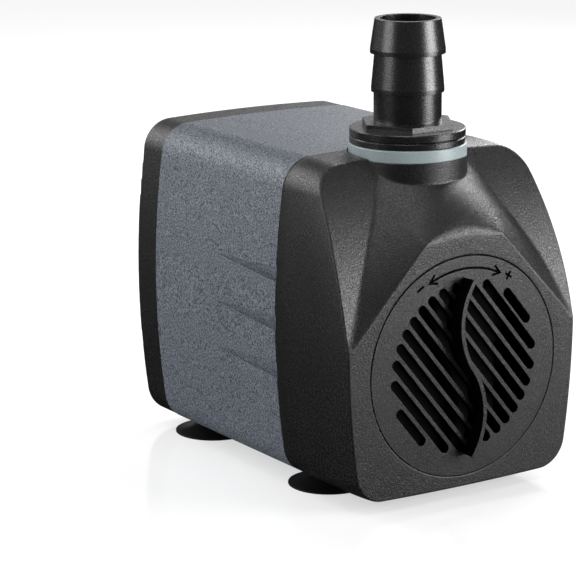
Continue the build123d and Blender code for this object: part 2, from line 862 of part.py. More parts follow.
with BuildPart() as motor_housing:
    add(body_block(housing_start, housing_end))
    add(body_block(register_start, housing_start, register_inset))
    add(register_notches(), mode=Mode.SUBTRACT)
    add(body_block(register_start, bulkhead_start, register_inset + register_thickness), mode=Mode.SUBTRACT)
    add(body_block(bulkhead_end, housing_end, housing_wall), mode=Mode.SUBTRACT)
    add(cup_bosses(rear_cup_depth))
    for spot_x, spot_z in mirrored_spots(chamber_screw_x, (-chamber_screw_z, chamber_screw_z)):
        add(cylinder_y(bulkhead_start, bulkhead_end + 9, 4, spot_x, axis_z + spot_z))
        add(
            cylinder_y(bulkhead_start, bulkhead_end + 7.5, chamber_screw_hole, spot_x, axis_z + spot_z),
            mode=Mode.SUBTRACT,
        )
    for spot_x, spot_z in mirrored_spots(rear_screw_x, rear_screw_z):
        add(cylinder_y(rear_boss_start, housing_end, rear_boss_radius, spot_x, spot_z))
        add(rear_boss_rib(spot_x, spot_z))
        add(cylinder_y(rear_boss_start + 1, housing_end, 1.55, spot_x, spot_z), mode=Mode.SUBTRACT)
    add(cylinder_y(bulkhead_start, bulkhead_end, can_radius), mode=Mode.SUBTRACT)
    add(outlet_cylinder(axis_z, mouth_z, outlet_pipe_radius + pipe_clearance), mode=Mode.SUBTRACT)
    add(outlet_cylinder(collar_top, mouth_z, seat_recess_radius), mode=Mode.SUBTRACT)
    add(cup_holes(rear_cup_depth, cup_hole_radius, cup_boss_top), mode=Mode.SUBTRACT)
    for gill_height_z in gill_z:
        add(gill(-1, gill_height_z), mode=Mode.SUBTRACT)
        add(gill(1, gill_height_z), mode=Mode.SUBTRACT)
save("motor_housing", motor_housing.part)


# ---- Rear cover and cable gland -----------------------------------------------------

rear_face = body_length

with BuildPart() as rear_cover:
    add(body_block(rear_cover_start + seam_half_gap, rear_face, rear_cover_inset))
    fillet(rear_cover.faces().sort_by(Axis.Y)[-1].edges(), rear_cover_fillet)
    add(
        body_block(rear_cover_start + seam_half_gap, rear_inner_depth, rear_cover_inset + 3.5),
        mode=Mode.SUBTRACT,
    )
    add(body_block(rear_lip_start, rear_cover_start + 4, housing_wall + register_gap + 0.4))
    add(
        body_block(rear_lip_start, rear_cover_start + 4, housing_wall + register_gap + 2.0),
        mode=Mode.SUBTRACT,
    )
    with BuildSketch(across(rear_lip_start)):
        with Locations(*mirrored_spots(rear_rib_end_x - 4, rear_screw_z)):
            Rectangle(2 * rear_rib_end_x - 2 * rear_screw_x, 2 * rear_boss_radius + 1)
    extrude(amount=-(rear_cover_start + seam_half_gap - rear_lip_start), mode=Mode.SUBTRACT)
    for spot_x, spot_z in mirrored_spots(rear_screw_x, rear_screw_z):
        add(cylinder_y(rear_cover_start + seam_half_gap, rear_inner_depth, rear_boss_radius, spot_x, spot_z))
        add(cylinder_y(rear_cover_start, rear_face, 1.9, spot_x, spot_z), mode=Mode.SUBTRACT)
        add(cylinder_y(rear_face - 3.0, rear_face, 3.6, spot_x, spot_z), mode=Mode.SUBTRACT)
    add(cylinder_y(rear_lip_start, rear_face, gland_thread_radius, 0, gland_z), mode=Mode.SUBTRACT)
save("rear_cover", rear_cover.part)

with BuildPart() as rear_cover_screws:
    for spot_x, spot_z in mirrored_spots(rear_screw_x, rear_screw_z):
        screw_plane = Plane((0, front_y + rear_face - 3.0, 0), x_dir=(-1, 0, 0), z_dir=(0, 1, 0))
        with BuildSketch(screw_plane):
            with Locations((-spot_x, spot_z)):
                Circle(3.2)
        extrude(amount=2.2)
        with BuildSketch(screw_plane):
            with Locations((-spot_x, spot_z)):
                Circle(1.5)
        extrude(amount=-(rear_face - 3.0 - rear_boss_start - 2))
        with BuildSketch(screw_plane.offset(2.2)):
            with Locations((-spot_x, spot_z)):
                Rectangle(4.0, 0.9)
                Rectangle(0.9, 4.0)
        extrude(amount=-1.3, mode=Mode.SUBTRACT)
save("rear_cover_screws", rear_cover_screws.part)

gland_plane = Plane((0, front_y + rear_face, gland_z), x_dir=(-1, 0, 0), z_dir=(0, 1, 0))

with BuildPart() as cable_gland:
    with BuildSketch(gland_plane.offset(gland_start - rear_face)):
        Circle(gland_thread_radius)
    extrude(amount=rear_face + gland_length - 1.5 - gland_start)
    with BuildSketch(gland_plane):
        Circle(gland_flange_radius)
    extrude(amount=2)
    with BuildSketch(gland_plane.offset(gland_start - rear_face)):
        Circle(grommet_radius)
    extrude(amount=rear_face + gland_length - gland_start, mode=Mode.SUBTRACT)
save("cable_gland", cable_gland.part)

with BuildPart() as gland_nut:
    with BuildSketch(gland_plane.offset(2.1)):
        RegularPolygon(gland_nut_flats / 2, 6, major_radius=False)
        Circle(gland_thread_radius, mode=Mode.SUBTRACT)
    extrude(amount=gland_length - 1.5 - 2.1)
    with BuildSketch(gland_plane.offset(gland_length - 1.5)):
        RegularPolygon(gland_nut_flats / 2, 6, major_radius=False)
        Circle(cable_radius + 0.6, mode=Mode.SUBTRACT)
    extrude(amount=1.5)
save("gland_nut", gland_nut.part)

with BuildPart() as gland_lock_nut:
    with BuildSketch(gland_plane.offset(rear_inner_depth - rear_face)):
        RegularPolygon(gland_nut_flats / 2, 6, major_radius=False)
        Circle(gland_thread_radius, mode=Mode.SUBTRACT)
    extrude(amount=-3)
save("gland_lock_nut", gland_lock_nut.part)

with BuildPart() as gland_grommet:
    with BuildSketch(gland_plane.offset(gland_start + 4 - rear_face)):
        Circle(grommet_radius)
        Circle(cable_radius, mode=Mode.SUBTRACT)
    extrude(amount=rear_face + gland_length - 1.5 - gland_start - 4)
save("gland_grommet", gland_grommet.part)


# ---- Outlet stack -------------------------------------------------------------------

with BuildPart() as outlet_seal:
    with BuildSketch(outlet_plane(collar_top)):
        Circle(collar_radius)
        Circle(ring_bore_radius, mode=Mode.SUBTRACT)
    extrude(amount=ring_top - collar_top)
    fillet(outlet_seal.edges().filter_by(GeomType.CIRCLE).sort_by(SortBy.RADIUS)[-2:], 0.5)
save("outlet_seal", outlet_seal.part)

with BuildPart() as outlet_washer:
    with BuildSketch(outlet_plane(ring_top)):
        Circle(disc_radius)
    extrude(amount=washer_top - ring_top)
    chamfer(outlet_washer.edges().filter_by(GeomType.CIRCLE), 0.3)
    with BuildSketch(outlet_plane(washer_top)):
        Circle(disc_radius - disc_groove_depth)
    extrude(amount=ring_nut_bottom - washer_top)
    add(outlet_cylinder(ring_top, ring_nut_bottom, ring_bore_radius), mode=Mode.SUBTRACT)
save("outlet_washer", outlet_washer.part)

with BuildPart() as outlet_ring_nut:
    with BuildSketch(outlet_plane(ring_nut_bottom)):
        Circle(disc_radius)
    extrude(amount=hex_bottom - ring_nut_bottom)
    chamfer(outlet_ring_nut.edges().filter_by(GeomType.CIRCLE), 0.3)
    add(outlet_cylinder(ring_nut_bottom, hex_bottom, ring_bore_radius), mode=Mode.SUBTRACT)
save("outlet_ring_nut", outlet_ring_nut.part)

with BuildPart() as hose_adapter:
    with BuildSketch(Plane((0, front_y + outlet_depth, 0), x_dir=(1, 0, 0), z_dir=(0, -1, 0))):
        with BuildLine():
            Polyline(
                (0, thread_bottom),
                (thread_radius - 0.8, thread_bottom),
                (thread_radius, thread_bottom + 0.8),
                (thread_radius, hex_bottom + 0.1),
                (neck_radius, hex_bottom + 0.1),
                (neck_radius, barb_low[0]),
                (barb_low[1], barb_low[0]),
                (barb_low[1], barb_low[0] + barb_land),
                (barb_low[2], barb_high[0]),
                (barb_high[1], barb_high[0]),
                (barb_high[1], barb_high[0] + barb_land),
                (barb_high[2], mouth_z),
                (0, mouth_z),
                (0, thread_bottom),
            )
        make_face()
    revolve(axis=Axis((0, front_y + outlet_depth, 0), (0, 0, 1)))
    with BuildSketch(outlet_plane(hex_bottom)):
        RegularPolygon(hex_radius, 6)
    extrude(amount=hex_top - hex_bottom)
    add(outlet_cylinder(thread_bottom, mouth_z, hose_bore_radius), mode=Mode.SUBTRACT)
save("hose_adapter", hose_adapter.part)


# ---- Suction cups -------------------------------------------------------------------


def suction_cup(x, depth):
    """Rubber cup: a thin dish, a neck through the body's floor and a head inside it."""
    spot_y = front_y + depth
    with BuildPart() as cup:
        with BuildSketch(Plane((x, spot_y, 0), x_dir=(1, 0, 0), z_dir=(0, -1, 0))):
            with BuildLine():
                rim = (cup_radius, 0)
                Polyline((cup_radius - 1.2, 0), rim, (cup_radius, 0.5))
                ThreePointArc((cup_radius, 0.5), (cup_radius * 0.6, 1.6), (cup_neck_radius + 3.5, 3.3))
                Polyline(
                    (cup_neck_radius + 3.5, 3.3),
                    (cup_neck_radius, 3.3),
                    (cup_neck_radius, cup_boss_top + 0.1),
                    (cup_head_radius, cup_boss_top + 0.1),
                    (cup_head_radius - 1.2, cup_boss_top + 2.3),
                    (0, cup_boss_top + 2.3),
                    (0, 1.9),
                )
                ThreePointArc((0, 1.9), (cup_radius * 0.5, 0.9), (cup_radius - 1.2, 0))
            make_face()
        revolve(axis=Axis((x, spot_y, 0), (0, 0, 1)))
    return cup.part


save("suction_cup_front_left", suction_cup(-cup_x, front_cup_depth))
save("suction_cup_front_right", suction_cup(cup_x, front_cup_depth))
save("suction_cup_rear_left", suction_cup(-cup_x, rear_cup_depth))
save("suction_cup_rear_right", suction_cup(cup_x, rear_cup_depth))
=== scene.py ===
import json
import math

import bmesh
import bpy
import numpy as np
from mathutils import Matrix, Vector


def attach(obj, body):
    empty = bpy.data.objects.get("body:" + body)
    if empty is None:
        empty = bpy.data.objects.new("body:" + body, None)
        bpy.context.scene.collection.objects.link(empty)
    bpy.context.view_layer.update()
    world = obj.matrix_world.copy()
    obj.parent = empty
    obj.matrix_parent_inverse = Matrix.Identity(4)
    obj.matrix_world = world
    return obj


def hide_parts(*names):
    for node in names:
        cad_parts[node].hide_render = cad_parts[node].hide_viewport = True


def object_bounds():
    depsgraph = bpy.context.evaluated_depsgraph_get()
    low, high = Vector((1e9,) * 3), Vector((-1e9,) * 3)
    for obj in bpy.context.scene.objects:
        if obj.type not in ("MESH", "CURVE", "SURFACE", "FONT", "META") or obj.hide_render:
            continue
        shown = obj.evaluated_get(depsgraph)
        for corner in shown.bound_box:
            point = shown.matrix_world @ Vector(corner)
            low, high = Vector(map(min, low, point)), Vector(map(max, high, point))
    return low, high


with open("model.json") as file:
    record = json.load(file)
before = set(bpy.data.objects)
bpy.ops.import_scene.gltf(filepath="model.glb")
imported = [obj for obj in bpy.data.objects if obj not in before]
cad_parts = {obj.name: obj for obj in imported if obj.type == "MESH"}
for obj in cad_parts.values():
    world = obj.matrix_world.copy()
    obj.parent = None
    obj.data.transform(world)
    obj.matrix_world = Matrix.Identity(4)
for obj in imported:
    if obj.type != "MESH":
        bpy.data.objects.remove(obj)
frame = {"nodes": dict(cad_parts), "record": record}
cad_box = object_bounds()
nodes = frame["nodes"]
mm = 0.001
grip_height = 6.5
front_y = cad_box[0].y / mm + grip_height
noise_range = (0.3, 0.7)

# ---------------------------------------------------------------- materials


def new_material(name):
    """An empty node material and its principled shader."""
    material = bpy.data.materials.new(name)
    material.use_nodes = True
    tree = material.node_tree
    shader = tree.nodes["Principled BSDF"]
    return material, tree, shader


def texture(tree, kind, scale, source, detail=2.0, rough=0.5):
    """A noise or voronoi texture read at given coordinates."""
    node = tree.nodes.new(kind)
    node.inputs["Scale"].default_value = scale
    if "Detail" in node.inputs:
        node.inputs["Detail"].default_value = detail
    if "Roughness" in node.inputs:
        node.inputs["Roughness"].default_value = rough
    tree.links.new(source, node.inputs["Vector"])
    return node


def remap(tree, value, low, high, start=0.0, end=1.0, smooth=False):
    """Turns a value between start and end into one between low and high."""
    node = tree.nodes.new("ShaderNodeMapRange")
    if smooth:
        node.interpolation_type = "SMOOTHSTEP"
    node.inputs["From Min"].default_value = start
    node.inputs["From Max"].default_value = end
    node.inputs["To Min"].default_value = low
    node.inputs["To Max"].default_value = high
    tree.links.new(value, node.inputs["Value"])
    return node.outputs["Result"]


def math_node(tree, operation, *values):
    """The result of a calculation with linked or constant values."""
    node = tree.nodes.new("ShaderNodeMath")
    node.operation = operation
    for socket, value in zip(node.inputs, values):
        if isinstance(value, (int, float)):
            socket.default_value = value
        else:
            tree.links.new(value, socket)
    return node.outputs[0]


def tint(tree, factor, dark, light):
    """A colour between two colours."""
    node = tree.nodes.new("ShaderNodeMix")
    node.data_type = "RGBA"
    node.inputs[6].default_value = (*dark, 1)
    node.inputs[7].default_value = (*light, 1)
    tree.links.new(factor, node.inputs[0])
    return node.outputs[2]


def paint_recess_and_side_shade(tree, face):
    """Painted shade: 1 on what faces forward at or before a depth, falling to almost 0 on side walls and in
    recesses.
    """
    where = tree.nodes.new("ShaderNodeTexCoord")
    place = tree.nodes.new("ShaderNodeSeparateXYZ")
    tree.links.new(where.outputs["Object"], place.inputs[0])
    facing = tree.nodes.new("ShaderNodeSeparateXYZ")
    tree.links.new(where.outputs["Normal"], facing.inputs[0])
    shallow = remap(tree, place.outputs["Y"], 1.0, 0.04, face + 0.1 * mm, face + 0.7 * mm)
    forward = remap(tree, facing.outputs["Y"], 1.0, 0.12, -0.85, -0.35)
    return math_node(tree, "MULTIPLY", shallow, forward)


broad_patch = 22
spot_size = 0.62


def moulded(name, color, rough, grain, depth, spread=0.12, edge=0.25, specular=0.5, speckle=0.0, face=None):
    """Moulded plastic or rubber: leather grain, fine noise, colour and gloss variation, eased edges; given a
    face depth, painted shade on side walls and in recesses.
    """
    material, tree, shader = new_material(name)
    where = tree.nodes.new("ShaderNodeTexCoord").outputs["Object"]
    cells = texture(tree, "ShaderNodeTexVoronoi", 1 / (grain * mm), where)
    cells.feature = "SMOOTH_F1"
    cells.inputs["Smoothness"].default_value = 0.6
    fine = texture(tree, "ShaderNodeTexNoise", 1.7 / (grain * mm), where, 3.0, 0.6)
    broad = texture(tree, "ShaderNodeTexNoise", 1 / (broad_patch * mm), where, 3.0, 0.55)
    height = math_node(tree, "MULTIPLY_ADD", cells.outputs["Distance"], -0.3, fine.outputs["Fac"])
    bump = tree.nodes.new("ShaderNodeBump")
    bump.inputs["Strength"].default_value = 1.0
    bump.inputs["Distance"].default_value = depth * mm
    tree.links.new(height, bump.inputs["Height"])
    if edge:
        eased = tree.nodes.new("ShaderNodeBevel")
        eased.samples = 4
        eased.inputs["Radius"].default_value = edge * mm
        tree.links.new(eased.outputs["Normal"], bump.inputs["Normal"])
    tree.links.new(bump.outputs["Normal"], shader.inputs["Normal"])
    dark = tuple(c * (1 - spread) for c in color)
    light = tuple(min(1.0, c * (1 + spread)) for c in color)
    tone = tint(tree, remap(tree, broad.outputs["Fac"], 0, 1, *noise_range), dark, light)
    spots = texture(tree, "ShaderNodeTexNoise", 1 / (spot_size * mm), where, 1.0, 0.5)
    level = remap(tree, spots.outputs["Fac"], 1 - speckle, 1 + speckle, *noise_range)
    fine_gloss = remap(tree, fine.outputs["Fac"], rough - 0.05, rough + 0.05, *noise_range)
    spot_gloss = remap(tree, spots.outputs["Fac"], 0.16 * speckle, -0.16 * speckle, *noise_range)
    gloss = math_node(tree, "ADD", fine_gloss, spot_gloss)
    shader.inputs["Specular IOR Level"].default_value = specular
    # Painted shade: base colour and specular level fall almost to 0 on side walls and in recesses behind the
    # face.
    if face is not None:
        lit = paint_recess_and_side_shade(tree, face)
        level = math_node(tree, "MULTIPLY", level, lit)
        tree.links.new(math_node(tree, "MULTIPLY", lit, specular), shader.inputs["Specular IOR Level"])
    scaled = tree.nodes.new("ShaderNodeVectorMath")
    scaled.operation = "SCALE"
    tree.links.new(tone, scaled.inputs[0])
    tree.links.new(level, scaled.inputs["Scale"])
    tree.links.new(scaled.outputs["Vector"], shader.inputs["Base Color"])
    tree.links.new(gloss, shader.inputs["Roughness"])
    return material


def metal(name, color, rough, grain):
    """Bright or dark metal with drawn lines and slight tarnish."""
    material, tree, shader = new_material(name)
    where = tree.nodes.new("ShaderNodeTexCoord").outputs["Object"]
    lines = texture(tree, "ShaderNodeTexNoise", 1 / (grain * mm), where, 4.0, 0.7)
    broad = texture(tree, "ShaderNodeTexNoise", 1 / (6 * mm), where, 2.0, 0.5)
    bump = tree.nodes.new("ShaderNodeBump")
    bump.inputs["Distance"].default_value = 0.01 * mm
    tree.links.new(lines.outputs["Fac"], bump.inputs["Height"])
    tree.links.new(bump.outputs["Normal"], shader.inputs["Normal"])
    dark = tuple(c * 0.8 for c in color)
    tree.links.new(tint(tree, broad.outputs["Fac"], dark, color), shader.inputs["Base Color"])
    gloss = remap(tree, lines.outputs["Fac"], rough - 0.06, rough + 0.1, *noise_range)
    tree.links.new(gloss, shader.inputs["Roughness"])
    shader.inputs["Metallic"].default_value = 1.0
    return material


def milky(name, color):
    """Translucent silicone: light goes in and comes out softened."""
    material, tree, shader = new_material(name)
    where = tree.nodes.new("ShaderNodeTexCoord").outputs["Object"]
    fine = texture(tree, "ShaderNodeTexNoise", 1 / (0.5 * mm), where, 3.0, 0.6)
    broad = texture(tree, "ShaderNodeTexNoise", 1 / (8 * mm), where, 2.0, 0.5)
    bump = tree.nodes.new("ShaderNodeBump")
    bump.inputs["Distance"].default_value = 0.012 * mm
    tree.links.new(fine.outputs["Fac"], bump.inputs["Height"])
    tree.links.new(bump.outputs["Normal"], shader.inputs["Normal"])
    dark = tuple(c * 0.9 for c in color)
    tree.links.new(tint(tree, broad.outputs["Fac"], dark, color), shader.inputs["Base Color"])
    gloss = remap(tree, fine.outputs["Fac"], 0.24, 0.34, *noise_range)
    tree.links.new(gloss, shader.inputs["Roughness"])
    shader.inputs["Subsurface Weight"].default_value = 0.3
    shader.inputs["Subsurface Radius"].default_value = (0.6, 0.8, 1.0)
    shader.inputs["Subsurface Scale"].default_value = 2.5 * mm
    return material


dial_turned = nodes["flow_dial"].matrix_world.inverted()
dial_face = (dial_turned @ Vector((0, front_y * mm, 0))).y

finish = {
    "black_body": moulded("black_body", (0.008, 0.008, 0.0085), 0.33, 0.75, 0.15, specular=0.42, speckle=0.9),
    # The dial's slot walls and grip sides get painted shade through face=dial_face.
    "black_dial": moulded(
        "black_dial", (0.008, 0.008, 0.0085), 0.33, 0.62, 0.11, specular=0.42, speckle=0.9, face=dial_face
    ),
    "grey_housing": moulded("grey_housing", (0.078, 0.089, 0.108), 0.5, 0.6, 0.12, 0.04, speckle=1.0),
    "black_fitting": moulded("black_fitting", (0.007, 0.007, 0.0075), 0.27, 0.6, 0.03, speckle=0.4),
    "inner_black": moulded("inner_black", (0.0025, 0.0025, 0.0025), 0.6, 0.8, 0.02, specular=0.06),
    "inner_white": moulded("inner_white", (0.72, 0.72, 0.69), 0.45, 0.8, 0.02, 0.05),
    "impeller_blue": moulded("impeller_blue", (0.06, 0.14, 0.32), 0.4, 0.8, 0.02),
    "black_rubber": moulded("black_rubber", (0.004, 0.004, 0.0045), 0.38, 1.2, 0.02, specular=0.3),
    "ferrite": moulded("ferrite", (0.05, 0.05, 0.055), 0.55, 0.5, 0.03),
    "white_ceramic": moulded("white_ceramic", (0.85, 0.84, 0.8), 0.25, 0.5, 0.005, 0.03),
    "resin": moulded("resin", (0.02, 0.02, 0.022), 0.2, 3.0, 0.05),
    "lead_brown": moulded("lead_brown", (0.17, 0.07, 0.03), 0.35, 0.6, 0.01),
    "lead_blue": moulded("lead_blue", (0.03, 0.1, 0.35), 0.35, 0.6, 0.01),
    "steel": metal("steel", (0.62, 0.63, 0.64), 0.3, 0.3),
    "silicon_steel": metal("silicon_steel", (0.35, 0.35, 0.37), 0.45, 0.35),
    "copper_wire": metal("copper_wire", (0.72, 0.36, 0.18), 0.3, 0.4),
    "seal_silicone": milky("seal_silicone", (0.24, 0.285, 0.295)),
}

for part in frame["record"]["subparts"]:
    part_object = nodes[part["node"]]
    part_object.data.materials.clear()
    part_object.data.materials.append(finish[part["material_slot"]])

# ---------------------------------------------------------------- front cover

# Millimetres. Points are (x, height); depths run back from the front face.
axis_z = 51.7
seam_depth = 48.95
wall = 2.6
edge_round = 0.7
edge_crown = 0.6
crown_reach = 20.0
seam_round = 0.3
collar_blend = 0.4
top_middle = (0, 130.1)
top_corner = (48.1, 128.9)
side_middle = (53.7, 66.0)
bottom_corner = (48.3, 4.3)
bottom_middle = (0, 3.4)
corner_radius = 13.0
outlet_depth = 37.8
collar_radius = 22.9
pocket_radius = 43.15
pocket_depth = 3.2
skirt_hole_radius = 40.45
floor_back = 5.2
inside_radius = 45.0
pocket_round = 0.4
cup_x = 32.8
cup_depth = 43.5


def circle_through(a, b, c):
    """Centre and radius of the circle through three points."""
    (ax, ay), (bx, by), (cx, cy) = a, b, c
    d = 2 * (ax * (by - cy) + bx * (cy - ay) + cx * (ay - by))
    ux = ((ax**2 + ay**2) * (by - cy) + (bx**2 + by**2) * (cy - ay) + (cx**2 + cy**2) * (ay - by)) / d
    uy = ((ax**2 + ay**2) * (cx - bx) + (bx**2 + by**2) * (ax - cx) + (cx**2 + cy**2) * (bx - ax)) / d
    return np.array((ux, uy)), math.hypot(ax - ux, ay - uy)


def fillet_centre(first, second, radius, near):
    """Centre of the fillet inside two circles, next to a corner point."""
    (c1, r1), (c2, r2) = first, second
    a, b = r1 - radius, r2 - radius
    gap = c2 - c1
    d = np.linalg.norm(gap)
    along = (a * a - b * b + d * d) / (2 * d)
    side = math.sqrt(a * a - along * along)
    unit = gap / d
    across = np.array((-unit[1], unit[0]))
    spots = [c1 + unit * along + across * side, c1 + unit * along - across * side]
    return min(spots, key=lambda p: np.linalg.norm(p - near))


def arc_points(centre, radius, start, end, spacing):
    """Points and outward normals along an arc, from one point to another, the last left out."""
    a = math.atan2(*(start - centre)[::-1])
    b = math.atan2(*(end - centre)[::-1])
    b += 2 * math.pi * round((a - b) / (2 * math.pi))
    count = max(2, round(abs(b - a) * radius / spacing))
    turn = a + (b - a) * np.arange(count) / count
    normal = np.stack([np.cos(turn), np.sin(turn)], 1)
    return centre + radius * normal, normal


def body_outline(spacing=0.6):
    """Barrel outline of the body, clockwise from the top middle, with its outward normals."""
    top = circle_through((-top_corner[0], top_corner[1]), top_middle, top_corner)
    side = circle_through(top_corner, side_middle, bottom_corner)
    bottom = circle_through(bottom_corner, bottom_middle, (-bottom_corner[0], bottom_corner[1]))
    high = fillet_centre(top, side, corner_radius, np.array(top_corner))
    low = fillet_centre(side, bottom, corner_radius, np.array(bottom_corner))

    def touch(circle, centre):
        """Where a fillet meets a circle."""
        return circle[0] + (centre - circle[0]) / np.linalg.norm(centre - circle[0]) * circle[1]

    stops = [np.array(top_middle), touch(top, high), touch(side, high), touch(side, low), touch(bottom, low)]
    stops.append(np.array(bottom_middle))
    arcs = [top, (high, corner_radius), side, (low, corner_radius), bottom]
    spots, normals = [], []
    for (centre, radius), start, end in zip(arcs, stops, stops[1:]):
        p, n = arc_points(centre, radius, start, end, spacing)
        spots.append(p)
        normals.append(n)
    spots.append(np.array([bottom_middle]))
    normals.append(np.array([(0.0, -1.0)]))
    spots, normals = np.concatenate(spots), np.concatenate(normals)
    flip = np.array((-1, 1))
    return np.concatenate([spots, spots[-2:0:-1] * flip]), np.concatenate([normals, normals[-2:0:-1] * flip])


def soft_min(a, b, width):
    """The smaller of two values, rounded over where they are about equal."""
    near = np.maximum(width - np.abs(a - b), 0) / width
    return np.minimum(a, b) - near * near * width / 4


def shoulder_depth(z):
    """Depth of the shoulders behind the front face."""
    centre, radius = circle_through((0, 62.1), (12.46, 99.1), (37.8, 136.0))
    side = np.sign(12.46 - centre[0])
    return centre[0] + side * np.sqrt(np.maximum(radius**2 - (z - centre[1]) ** 2, 0))


hood_depths = np.array((0.0, 12.0, 24.0, 34.0))
hood_rows = {
    "side_z": np.polyfit(hood_depths, (62.1, 84.0, 97.7, 110.0), 3),
    "edge_x": np.polyfit(hood_depths, (18.2, 21.6, 25.0, 26.5), 3),
    "edge_z": np.polyfit(hood_depths, (101.2, 110.1, 118.6, 130.2), 3),
    "middle_z": np.polyfit(hood_depths, (104.2, 117.6, 126.0, 131.6), 3),
}


def hood_value(row, depth):
    """A hood dimension at a depth, carried on in a straight line in front of the face."""
    curve = hood_rows[row]
    slope = np.polyval(np.polyder(curve), 0)
    return np.where(depth < 0, curve[-1] + slope * depth, np.polyval(curve, np.maximum(depth, 0)))


def hood_height(x, depth):
    """Height of the hood over a point of a section."""
    edge_x, edge_z = hood_value("edge_x", depth), hood_value("edge_z", depth)
    middle, side = hood_value("middle_z", depth), hood_value("side_z", depth)
    reach = np.abs(x)
    drop = middle - edge_z
    crown = np.where(
        reach < edge_x,
        middle - drop * (reach / edge_x) ** 2,
        edge_z - 2 * drop * (reach - edge_x) / edge_x,
    )
    facet = edge_z + (side - edge_z) * (reach - edge_x) / (53.8 - edge_x)
    return soft_min(crown, facet, 0.7)


def hood_depth(x, z):
    """Depth of the hood's skin, found from its height."""
    steps = np.linspace(-30, 42, 145)
    result = np.full(x.shape, 60.0)
    before = hood_height(x, steps[0])
    for start, end in zip(steps, steps[1:]):
        after = hood_height(x, end)
        inside = (before <= z) & (z < after)
        share = (z - before) / np.maximum(after - before, 1e-6)
        result = np.where(inside, start + share * (end - start), result)
        before = after
    return np.where(z < hood_height(x, steps[0]), -30.0, result)


def sculpted_depth(x, z):
    """Depth of the cover's sculpted front without the collar."""
    skin = soft_min(shoulder_depth(z), hood_depth(x, z), 0.9)
    softness = np.clip(1.8 - 0.3 * (np.abs(x) - 13.0), 0.45, 1.8)
    return -soft_min(-skin, np.zeros_like(skin), softness)


def collar_depth(x):
    """Depth of the outlet collar's front."""
    reach = np.sqrt(np.maximum(collar_radius**2 - x**2, 0))
    return np.where(np.abs(x) < collar_radius, outlet_depth - reach, 90.0)


def loop_mesh(name, loops, closed=True):
    """A mesh of quads between closed loops that all have the same number of points."""
    count, size = len(loops), len(loops[0])
    corners = np.arange(count * size).reshape(count, size)
    around = np.roll(corners, -1, 1)
    nxt, nxt_around = np.roll(corners, -1, 0), np.roll(around, -1, 0)
    faces = np.stack([corners, around, nxt_around, nxt], -1)
    if not closed:
        faces = faces[:-1]
    mesh = bpy.data.meshes.new(name)
    mesh.from_pydata(np.concatenate(loops).tolist(), [], faces.reshape(-1, 4).tolist())
    thing = bpy.data.objects.new(name, mesh)
    bpy.context.scene.collection.objects.link(thing)
    return thing


def point_loop(plan, depth):
    """A loop of points in metres from (x, z) and depth in millimetres."""
    depth = np.broadcast_to(depth, len(plan))
    return np.stack([plan[:, 0], depth + front_y, plan[:, 1]], 1) * mm


def crown_inset(behind):
    """How far the side walls pull in close to the front edge."""
    return edge_crown * np.clip(1 - behind / crown_reach, 0, 1) ** 3


def build_front_cover():
    """Front cover: pocket, front face, hood, shoulders, collar and side walls as one closed skin."""
    outline, normal = body_outline()
    ray = outline - np.array((0, axis_z))
    ray /= np.linalg.norm(ray, axis=1)[:, None]
    centre = np.array((0, axis_z))

    def ring(radius, depth):
        """A loop on a circle round the dial's axis."""
        return point_loop(centre + ray * radius, depth)

    loops = [ring(inside_radius, floor_back), ring(skirt_hole_radius, floor_back)]
    loops += [ring(skirt_hole_radius, pocket_depth), ring(pocket_radius, pocket_depth)]
    for turn in np.radians((0, 30, 60, 90)):
        lip = pocket_round * (1 - math.cos(turn))
        loops.append(ring(pocket_radius + lip, pocket_round * (1 - math.sin(turn))))
    inner = centre + ray * (pocket_radius + pocket_round)
    outer = outline - normal * (edge_crown + edge_round)
    rows = 84
    for row in range(1, rows + 1):
        plan = inner + (outer - inner) * row / rows
        depth = soft_min(sculpted_depth(plan[:, 0], plan[:, 1]), collar_depth(plan[:, 0]), collar_blend)
        loops.append(point_loop(plan, depth))
    for turn in np.radians((15, 30, 45, 60, 75, 90)):
        plan = outline - normal * (edge_crown + edge_round * (1 - math.sin(turn)))
        depth = soft_min(sculpted_depth(plan[:, 0], plan[:, 1]), collar_depth(plan[:, 0]), collar_blend)
        edge = depth + edge_round * (1 - math.cos(turn))
        loops.append(point_loop(plan, np.minimum(edge, seam_depth - 2)))
    edge = np.minimum(edge, seam_depth - 2)
    for share in (0.015, 0.03, 0.05, 0.075, 0.1, 0.13, 0.17, 0.22, 0.28, 0.35, 0.45, 0.6, 0.8):
        depth = edge + (seam_depth - seam_round - edge) * share
        plan = outline - normal * crown_inset(depth - edge)[:, None]
        loops.append(point_loop(plan, depth))
    for turn in np.radians((0, 45, 90)):
        plan = outline - normal * seam_round * (1 - math.cos(turn))
        loops.append(point_loop(plan, seam_depth - seam_round * (1 - math.sin(turn))))
    inside = outline - normal * wall
    loops.append(point_loop(inside, seam_depth))
    start = centre + ray * inside_radius
    for share in np.linspace(1, 0, 25):
        plan = start + (inside - start) * share
        depth = sculpted_depth(plan[:, 0], plan[:, 1]) + wall
        loops.append(point_loop(plan, np.minimum(depth, seam_depth - 0.5)))
    return loop_mesh("front_cover_skin", loops)


def lathe(name, axis_depth, axis_x, profile, sides):
    """A closed turned solid round an upright axis, from (radius, height) points."""
    turn = 2 * math.pi * np.arange(sides) / sides
    loops = []
    for radius, height in profile:
        around = np.stack([axis_x + radius * np.cos(turn), front_y + axis_depth + radius * np.sin(turn)], 1)
        loops.append(np.column_stack([around, np.full(sides, height)]) * mm)
    thing = loop_mesh(name, loops, closed=False)
    caps = bmesh.new()
    caps.from_mesh(thing.data)
    bmesh.ops.holes_fill(caps, edges=[edge for edge in caps.edges if edge.is_boundary])
    bmesh.ops.recalc_face_normals(caps, faces=caps.faces)
    caps.to_mesh(thing.data)
    caps.free()
    return thing


